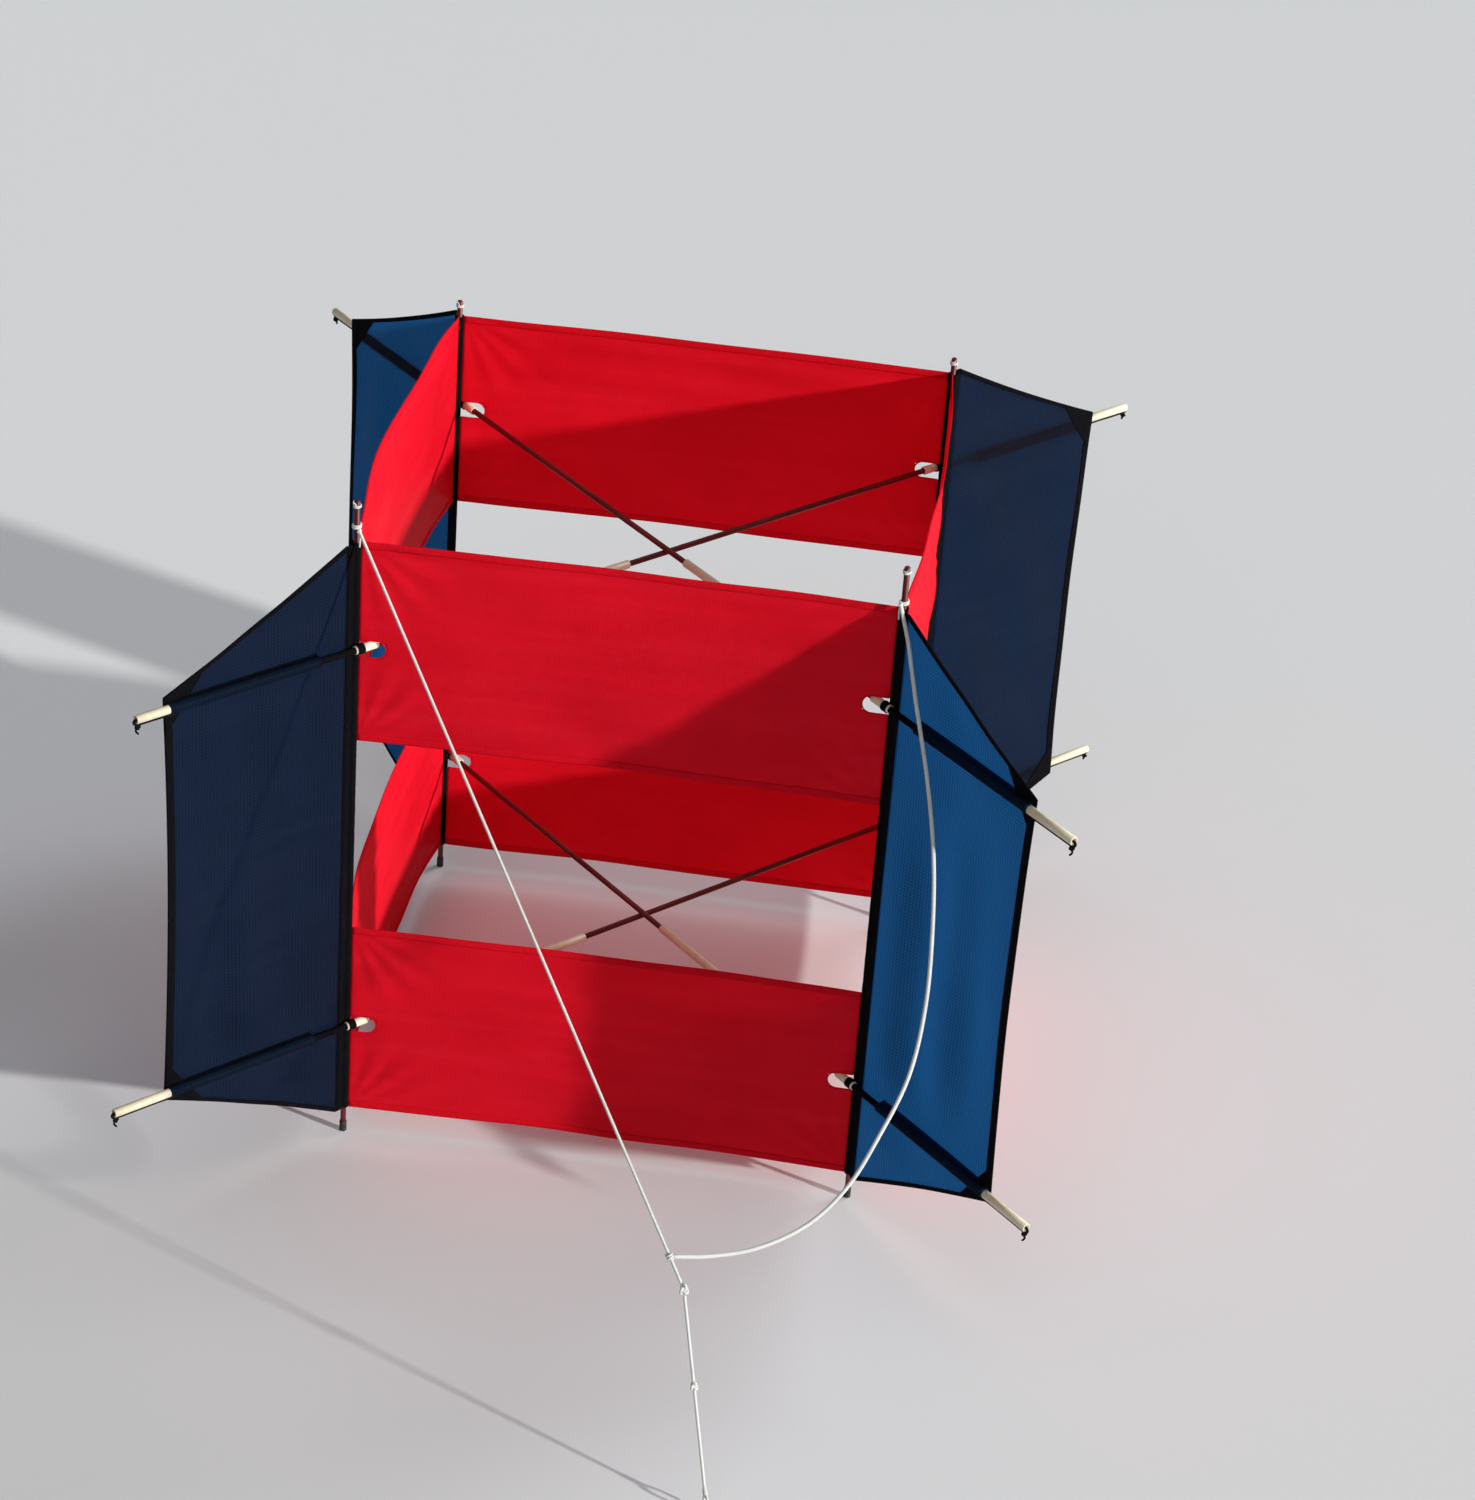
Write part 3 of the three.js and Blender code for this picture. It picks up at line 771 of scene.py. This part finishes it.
def panel_offset(face, cell, u, z):
    """How far the cloth stands out from its flat plane: billow, slack and pull lines."""
    low, high = panel_heights(face, cell)
    across = u / PANEL_HALF
    up = (z - (low + high) / 2) / ((high - low) / 2)
    seed = 17 * list(FACES).index(face) + 5 * CELLS.index(cell) + 3
    held = np.clip(1 - across ** 2, 0, 1)
    billow = BULGE[face] * held * (0.75 + 0.25 * up ** 2)
    pulls = PULL_LINES * wave(u * 4.0, z * 85.0, seed, 7) * np.sqrt(held)
    slack = SLACK * wave(u * 12.0, z * 30.0, seed + 2, 4) * held ** 0.6
    near_edge = np.clip(np.abs(up) - 0.45, 0, 1) / 0.55
    edge = EDGE_FLUTTER * wave(u * 15.0, 0 * z, seed + 1, 4) * held * near_edge
    fans = np.zeros(np.broadcast(u, z).shape)
    for sign in (-1, 1):
        for corner_up in (-1, 1):
            dx = (1 - sign * across) * PANEL_HALF
            dz = (1 - corner_up * up) * (high - low) / 2
            angle = np.arctan2(dz, dx + 1e-6)
            fade = np.exp(-((np.hypot(dx, dz) - 0.07) / 0.06) ** 2)
            fans += CORNER_FANS * np.sin(angle * 16 + seed + sign) * fade
    return billow + pulls + slack + edge + fans * held ** 0.3


def panel_points(face, cell, u, z):
    """Points on the billowed cloth of a panel."""
    across, outward = FACES[face]
    offset = panel_offset(face, cell, u, z)
    return across * u[..., None] + outward * (HALF_BOX + offset)[..., None] + Z * z[..., None]


def touching(marked):
    """Number of marked grid points at the corners of each square between them."""
    marked = marked.astype(int)
    return marked[:-1, :-1] + marked[1:, :-1] + marked[:-1, 1:] + marked[1:, 1:]


def panel(face, cell):
    """One red sheet, with its slots cut where spreaders pass, its hems and slot bindings."""
    node = f"panel_{cell}_{face}"
    low, high = panel_heights(face, cell)
    spacing = 0.004
    edge = PANEL_HALF + SEAM
    columns = int(2 * edge / spacing) + 1
    rows = int((high - low) / spacing) + 1
    u, z = np.meshgrid(np.linspace(-edge, edge, columns), np.linspace(low, high, rows))
    keep = np.ones((rows - 1, columns - 1), bool)
    for sign, centre, middle, radius in slots_of(face, cell):
        # distance outside a slot that is round inside and runs straight out to the sleeve
        du = np.where(sign * (u - centre) > 0, 0.0, u - centre)
        dz = z - middle
        distance = np.hypot(du, dz)
        inside = distance < radius
        near = inside & (distance > radius - 1.5 * spacing)
        keep &= (touching(inside) < 3) & (touching(inside & ~near) == 0)
        scale = np.where(near, radius / np.maximum(distance, 1e-9), 1.0)
        u = np.where(near, u - du + du * scale, u)
        z = np.where(near, middle + dz * scale, z)
    points = panel_points(face, cell, u, z)
    cloth = shell(f"{node}_cloth", points, u, z, CLOTH, keep)
    finish_piece(cloth, RED, nodes=[node])
    trims = [panel_hem(face, cell, edge) for edge in ("low", "high")]
    for sign, centre, middle, radius in slots_of(face, cell):
        trims.append(slot_binding(face, cell, sign, centre, middle, radius))


def panel_hem(face, cell, edge):
    """Turned and stitched hem along the panel's free edge."""
    low, high = panel_heights(face, cell)
    columns = int(2 * PANEL_HALF / 0.006) + 1
    z0, inward = (low, 1) if edge == "low" else (high, -1)
    u, z = np.meshgrid(np.linspace(-PANEL_HALF - SEAM, PANEL_HALF + SEAM, columns),
                       z0 + inward * np.linspace(-0.0004, HEM_WIDTH, 5))
    on_cloth = np.clip(z, low, high)
    points = panel_points(face, cell, u, on_cloth) + Z * (z - on_cloth)[..., None]
    hem = shell(f"hem_{edge}_{cell}_{face}", points, z - z0, u, 0.0017)
    return finish_piece(hem, RED_HEM)


def slot_binding(face, cell, sign, centre, middle, radius):
    """Rolled edge sewn round the slot, open towards the sleeve."""
    angles = np.linspace(math.pi / 2, math.pi * 1.5, 18)
    u = [centre + sign * math.cos(a) * radius for a in angles]
    z = [middle + radius * math.sin(a) for a in angles]
    end = sign * (PANEL_HALF - 0.001)
    u = [end, (end + centre) / 2] + u + [(end + centre) / 2, end]
    z = [middle + radius] * 2 + z + [middle - radius] * 2
    u, z = np.array(u), np.array(z)
    path = panel_points(face, cell, u, z)
    side = "right" if sign > 0 else "left"
    binding = sweep(f"slot_edge_{side}_{cell}_{face}", smooth_path(path, 0.002), 0.0011, 8)
    return finish_piece(binding, RED_HEM)


# ---------------- wings
def wing_edges(corner):
    """Heights of the wing's two outer corners."""
    points = points_of(f"wing_{corner.name}")
    reach = (points - corner.axis) @ corner.out
    outer = points[reach > WING_REACH - 0.001][:, 2]
    return float(outer.min()), float(outer.max())


WING_INNER = SEAM_FLAP + 0.0003
WING_WIDTH = WING_REACH - WING_INNER
SAIL_TALL = SAIL_HIGH - SAIL_LOW
TOP_SAG, SIDE_SAG = 0.004, 0.007  # hollow of the free edges
FOLDS, LONG_FOLDS, WING_BILLOW = 0.0095, 0.0074, 0.006
PATCH = 0.058


def wing_point_heights(corner, share_out, share_up):
    """Height of a wing point from its shares of the way out and up."""
    low, high = wing_edges(corner)
    hollow = 4 * TOP_SAG * share_out * (1 - share_out)
    bottom = SAIL_LOW + (low - SAIL_LOW) * share_out + hollow
    top = SAIL_HIGH + (high - SAIL_HIGH) * share_out - hollow
    return bottom + (top - bottom) * share_up


def wing_reach(share_out, share_up):
    """Reach of a wing point: the outer edge is a shallow hollow curve."""
    hollow = 4 * SIDE_SAG * share_up * (1 - share_up)
    return WING_INNER + (WING_WIDTH - hollow) * share_out


def wing_offset(corner, reach, z):
    """Sideways stand-off of the wing cloth from its flat plane."""
    seed = 40 + 7 * list(CORNERS).index(corner.name)
    out = np.clip((reach - WING_INNER) / WING_WIDTH, 0, 1)
    up = (z - (SAIL_LOW + SAIL_HIGH) / 2) / (SAIL_TALL / 2)
    free = np.clip(1 - (up * 1.35) ** 2, 0, 1) * np.sin(math.pi * out ** 0.9)
    folds = wave(reach * 22 + z * 9, z * 6, seed, 5, 0.7, 1.6)
    long_folds = wave(reach * 46, z * 5, seed + 1, 4, 0.6, 1.4)
    for cell in CELLS:
        away_from_rod = 1 - np.exp(-((z - corner.rod_z[cell]) / 0.045) ** 2)
        folds = folds * away_from_rod
        long_folds = long_folds * away_from_rod
    bottom = wing_point_heights(corner, out, 0.0)
    top = wing_point_heights(corner, out, 1.0)
    calm = np.clip(np.minimum(z - bottom, top - z) / 0.07, 0, 1)
    calm = 0.12 + 0.88 * calm * calm * (3 - 2 * calm)
    height = FOLDS * folds + LONG_FOLDS * long_folds
    return -WING_BILLOW * free + height * np.sin(math.pi * out) ** 0.7 * calm


def wing_points(corner, share_out, share_up):
    """Points on a wing's cloth, with their reach and height."""
    reach = wing_reach(share_out, share_up)
    z = wing_point_heights(corner, share_out, share_up)
    beside = WING_PLANE + wing_offset(corner, reach, z)
    return (corner.axis + corner.out * reach[..., None] + corner.beside * beside[..., None]
            + Z * z[..., None]), reach, z


def wing(corner):
    """One navy sheet, with its edge tapes, corner patches and rod pockets."""
    node = f"wing_{corner.name}"
    share_out, share_up = np.meshgrid(np.linspace(0, 1, 58), np.linspace(0, 1, 170))
    points, reach, z = wing_points(corner, share_out, share_up)
    cloth = shell(f"{node}_cloth", points, reach, z, CLOTH)
    finish_piece(cloth, NAVY, nodes=[node])
    trims = [wing_hem(corner, edge) for edge in ("outer", "low", "high")]
    for cell in CELLS:
        trims.append(corner_patch(corner, cell))
        trims.append(pocket(corner, cell))


def wing_hem(corner, edge):
    """Black tape folded over a free edge of the wing."""
    outer = edge == "outer"
    width, steps, span, length = ((0.011, 200, WING_WIDTH, SAIL_TALL) if outer
                                  else (0.007, 90, SAIL_TALL, WING_REACH))
    into = np.linspace(-0.0008, width, 5) / span
    a, b = np.meshgrid(np.linspace(0, 1, steps), into)
    if outer:
        points, _, _ = wing_points(corner, 1 - b, a)
    else:
        points, _, _ = wing_points(corner, a, b if edge == "low" else 1 - b)
    hem = shell(f"wing_tape_{edge}_{corner.name}", points, b * span, a * length, 0.0019)
    return finish_piece(hem, BLACK)


def corner_patch(corner, cell):
    """Doubled heavy patch where the spreader pulls on the wing's corner."""
    shares = np.linspace(0, 1, 18)
    a, b = np.meshgrid(shares, shares)
    out_share = 1 - a * PATCH / WING_WIDTH
    low, high = wing_edges(corner)
    tapered = 1 - 0.9 * a
    up_share = b * tapered * PATCH / (high - low)
    up_share = up_share if cell == "lower" else 1 - up_share
    points, reach, z = wing_points(corner, out_share, up_share)
    patch = shell(f"corner_patch_{cell}_{corner.name}", points, reach, z, 0.0024)
    return finish_piece(patch, BLACK)


def pocket(corner, cell):
    """Stitched half tunnel on the wing's face that the spreader lies in."""
    bore = TUBE + 0.0007
    start, end = corner.reach_of(f"wing_{corner.name}", POCKET_SIDE)
    rows = 60
    reach = np.linspace(start, end, rows)
    z0 = corner.rod_z[cell]
    base = WING_PLANE + 0.0005
    arc = np.linspace(-math.pi / 2, math.pi / 2, 13)
    section = [(base, -bore - 0.0030), (base, -bore - 0.0012), (base + 0.0012, -bore)]
    section += [(corner.rod_offset + bore * math.cos(a), bore * math.sin(a)) for a in arc]
    section += [(base + 0.0012, bore), (base, bore + 0.0012), (base, bore + 0.0030)]
    section = np.array(section)
    run = run_along(section)
    ripple = 0.00035 * wave(reach[:, None] * 260, run[None] * 200, 71 + corner.x, 5)
    points = np.empty((rows, len(section), 3))
    for i, r in enumerate(reach):
        follow = float(wing_offset(corner, np.array([r]), np.array([z0]))[0])
        for k, (beside, dz) in enumerate(section):
            on_wing = 1.0 if beside < base + 0.001 else 0.0
            out = max(beside + ripple[i, k] * (1 - on_wing), base)
            points[i, k] = corner.at(r, out + follow * on_wing, z0 + dz)
    piece = shell(f"rod_pocket_{cell}_{corner.name}", points, *np.meshgrid(run, reach), 0.0009)
    return finish_piece(piece, POCKET)


# ---------------- bridle and flying line
CORD = 0.002  # radius
SLACK_CORD = 0.0027
TOW_POINT = np.array([0.198, -0.943, 0.250])
TAUT_TOP = np.array([-HALF_BOX, -HALF_BOX, SAIL_HIGH + 0.023])
SLACK_JOIN_ABOVE_KNOT = 0.045
LINE_END = np.array([0.2556, -1.062, 0.026])
SLACK_ROUTE = np.array([
    (0.356, -0.368, 0.950), (0.371, -0.390, 0.911), (0.381, -0.412, 0.880), (0.392, -0.436, 0.845),
    (0.418, -0.485, 0.765), (0.438, -0.535, 0.684), (0.449, -0.588, 0.600), (0.452, -0.640, 0.518),
    (0.442, -0.692, 0.444), (0.415, -0.740, 0.382), (0.382, -0.786, 0.326), (0.339, -0.828, 0.291),
    (0.280, -0.868, 0.273), (0.224, -0.896, 0.272),
])
KNOT_HALF = 0.008


def direction(start, end):
    return (end - start) / np.linalg.norm(end - start)


LINE_DIRECTION = direction(TOW_POINT, LINE_END)
TAUT_DIRECTION = direction(TAUT_TOP, TOW_POINT)


def bridle():
    """The taut leg with the tow knot, then the slack leg that joins it just above."""
    start = TAUT_TOP + TAUT_DIRECTION * 2.5 * DOWEL
    end = TOW_POINT - TAUT_DIRECTION * (KNOT_HALF + CORD)
    path = smooth_path([start, (start + end) / 2, end], 0.010)
    left = line_piece("bridle_left", path, CORD, 14, ["bridle_leg_left"])
    hitch_left = hitch("left", TAUT_TOP, start)
    tow = knot("tow_knot_tied", TOW_POINT, LINE_DIRECTION, 0.0052, CORD * 0.95, ["tow_knot"])

    join = TOW_POINT - TAUT_DIRECTION * SLACK_JOIN_ABOVE_KNOT
    slack_end = join + direction(join, SLACK_ROUTE[-1]) * (CORD + SLACK_CORD + 0.0012)
    path = smooth_path(np.vstack([SLACK_ROUTE, slack_end]), 0.008)
    right = line_piece("bridle_right", path, SLACK_CORD, 14, ["bridle_leg_right"])
    top = np.array([HALF_BOX, -HALF_BOX, SLACK_ROUTE[0][2]])
    hitch_right = hitch("right", top, SLACK_ROUTE[0])
    tied = wraps(join, TAUT_DIRECTION, CORD, CORD * 0.8, 2.5)
    tied = line_piece("slack_leg_hitch", tied, CORD * 0.8, 10)


def hitch(side_name, centre, leaves):
    """Turns round the longeron and the knot that the bridle leg leaves from."""
    thin = CORD * 0.7
    coil = wraps(centre, Z, DOWEL, thin, 2.0)
    piece = line_piece(f"hitch_{side_name}", coil, thin, 12)
    away = direction(centre, leaves)
    knot(f"hitch_knot_{side_name}", centre + away * 0.0085, Z, SMALL_KNOT, thin)
    start = centre + away * 0.0100 - Z * 0.002
    tail = smooth_path([start, start + away * 0.001 - Z * 0.008, start - Z * 0.019], 0.001)
    line_piece(f"hitch_tail_{side_name}", tail, thin * 0.9, 8)
    return piece


def flying_line():
    """The line from the tow knot, with its stop knot and end loop."""
    start = TOW_POINT + LINE_DIRECTION * (KNOT_HALF + 0.0003)
    path = smooth_path([start, (start + LINE_END) / 2, LINE_END], 0.008)
    line = line_piece("line_braid", path, CORD, 14, ["flying_line"])
    toggle = knot("line_stop_knot", middle_of("line_toggle"), LINE_DIRECTION, 0.0042, CORD * 0.85,
                  ["line_toggle"])
    loop = end_loop()


def end_loop():
    """Eye at the end of the line, whipped where it closes."""
    flat = np.cross(LINE_DIRECTION, Z)
    flat /= np.linalg.norm(flat)
    in_plane = np.cross(flat, LINE_DIRECTION)
    radius, whip_thread = 0.0088, 0.0007
    t = np.linspace(0, 2 * math.pi, 72, endpoint=False)[:, None]
    path = (middle_of("line_end_loop") + np.cos(t) * in_plane * radius * 0.92
            + np.sin(t) * LINE_DIRECTION * radius)
    loop = line_piece("line_eye", path, CORD, 12, ["line_end_loop"], closed=True)
    whip = wraps(LINE_END - LINE_DIRECTION * 0.003, LINE_DIRECTION, CORD * 0.9, whip_thread, 6)
    line_piece("line_eye_whipping", whip, whip_thread, 8)
    return loop


# ---------------- floor, light and camera
FLOOR_HALF = 150.0
CAMERA_TURN = (5.38, 30.43, 4.35)  # azimuth, elevation and roll in degrees
CAMERA_RIGHT, CAMERA_DOWN, CAMERA_AWAY = 0.1233, 0.0198, 6.124
LENS = 103.24


def floor():
    """Pale matt floor, wide enough to fill the view."""
    square = [(0, 0), (1, 0), (1, 1), (0, 1)]
    spots = [((2 * a - 1) * FLOOR_HALF, (2 * b - 1) * FLOOR_HALF, 0) for a, b in square]
    mesh_piece = make_object("floor", spots, [(0, 1, 2, 3)], square)
    nodes = Nodes("pale_floor")
    nodes.set(Base_Color=(0.76, 0.768, 0.775), Roughness=0.8, Specular_IOR_Level=0.1)
    mesh_piece.data.materials.append(nodes.material)


def distant_light(name, towards, strength, spread, colour):
    """Even light from one direction, its shadows softened by the spread in degrees."""
    data = bpy.data.lights.new(name, "SUN")
    data.energy = strength
    data.angle = math.radians(spread)
    data.color = colour
    lamp = add_object(name, data)
    lamp.rotation_euler = (-Vector(towards)).to_track_quat("-Z", "Y").to_euler()


def lights():
    """A low key from the right, a soft fill in front, a rim behind the wings and a dim surround."""
    distant_light("key", (0.905, -0.348, 0.26), 4.3, 2.0, (1.0, 0.98, 0.95))
    distant_light("fill", (-0.15, -0.78, 0.62), 0.24, 40, (0.90, 0.96, 1.0))
    distant_light("top", (0.0, -0.05, 1.0), 0.50, 50, (0.95, 0.98, 1.0))
    distant_light("rim", (0.68, 0.68, 0.30), 2.05, 30, (0.95, 0.98, 1.0))
    world = bpy.data.worlds.new("studio")
    world.use_nodes = True
    world.node_tree.nodes["Background"].inputs[0].default_value = (0.90, 0.94, 1.0, 1.0)
    world.node_tree.nodes["Background"].inputs[1].default_value = 0.10
    bpy.context.scene.world = world
    bpy.context.scene.view_settings.view_transform = "Standard"


def camera():
    """Looks down on the kite from in front, turned slightly about its own axis."""
    azimuth, elevation, roll = (math.radians(a) for a in CAMERA_TURN)
    forward = Vector((-math.sin(azimuth) * math.cos(elevation),
                      math.cos(azimuth) * math.cos(elevation), -math.sin(elevation)))
    level = Vector((math.cos(azimuth), math.sin(azimuth), 0.0))
    upright = level.cross(forward)
    right = level * math.cos(roll) + upright * math.sin(roll)
    up = upright * math.cos(roll) - level * math.sin(roll)
    centre = Vector((0.0, 0.0, (SAIL_LOW + SAIL_HIGH) / 2))
    data = bpy.data.cameras.new("camera")
    data.sensor_width = 36
    data.lens = LENS
    data.clip_start = 0.05
    seen = add_object("camera", data)
    place = centre + right * CAMERA_RIGHT - up * CAMERA_DOWN - forward * CAMERA_AWAY
    turn = Matrix((right, up, -forward)).transposed().to_4x4()
    seen.matrix_world = Matrix.Translation(place) @ turn
    bpy.context.scene.camera = seen


# ---------------- the whole kite
camera()
lights()
floor()
bridle()
flying_line()
for corner in corners.values():
    longeron(corner)
    foot_cap(corner)
    whipping(corner)
    sleeve(corner)
    for cell_name in CELLS:
        guard_loop(corner, cell_name)
        spreader_half(corner, cell_name)
    wing(corner)
for face_name in FACES:
    for cell_name in CELLS:
        panel(face_name, cell_name)
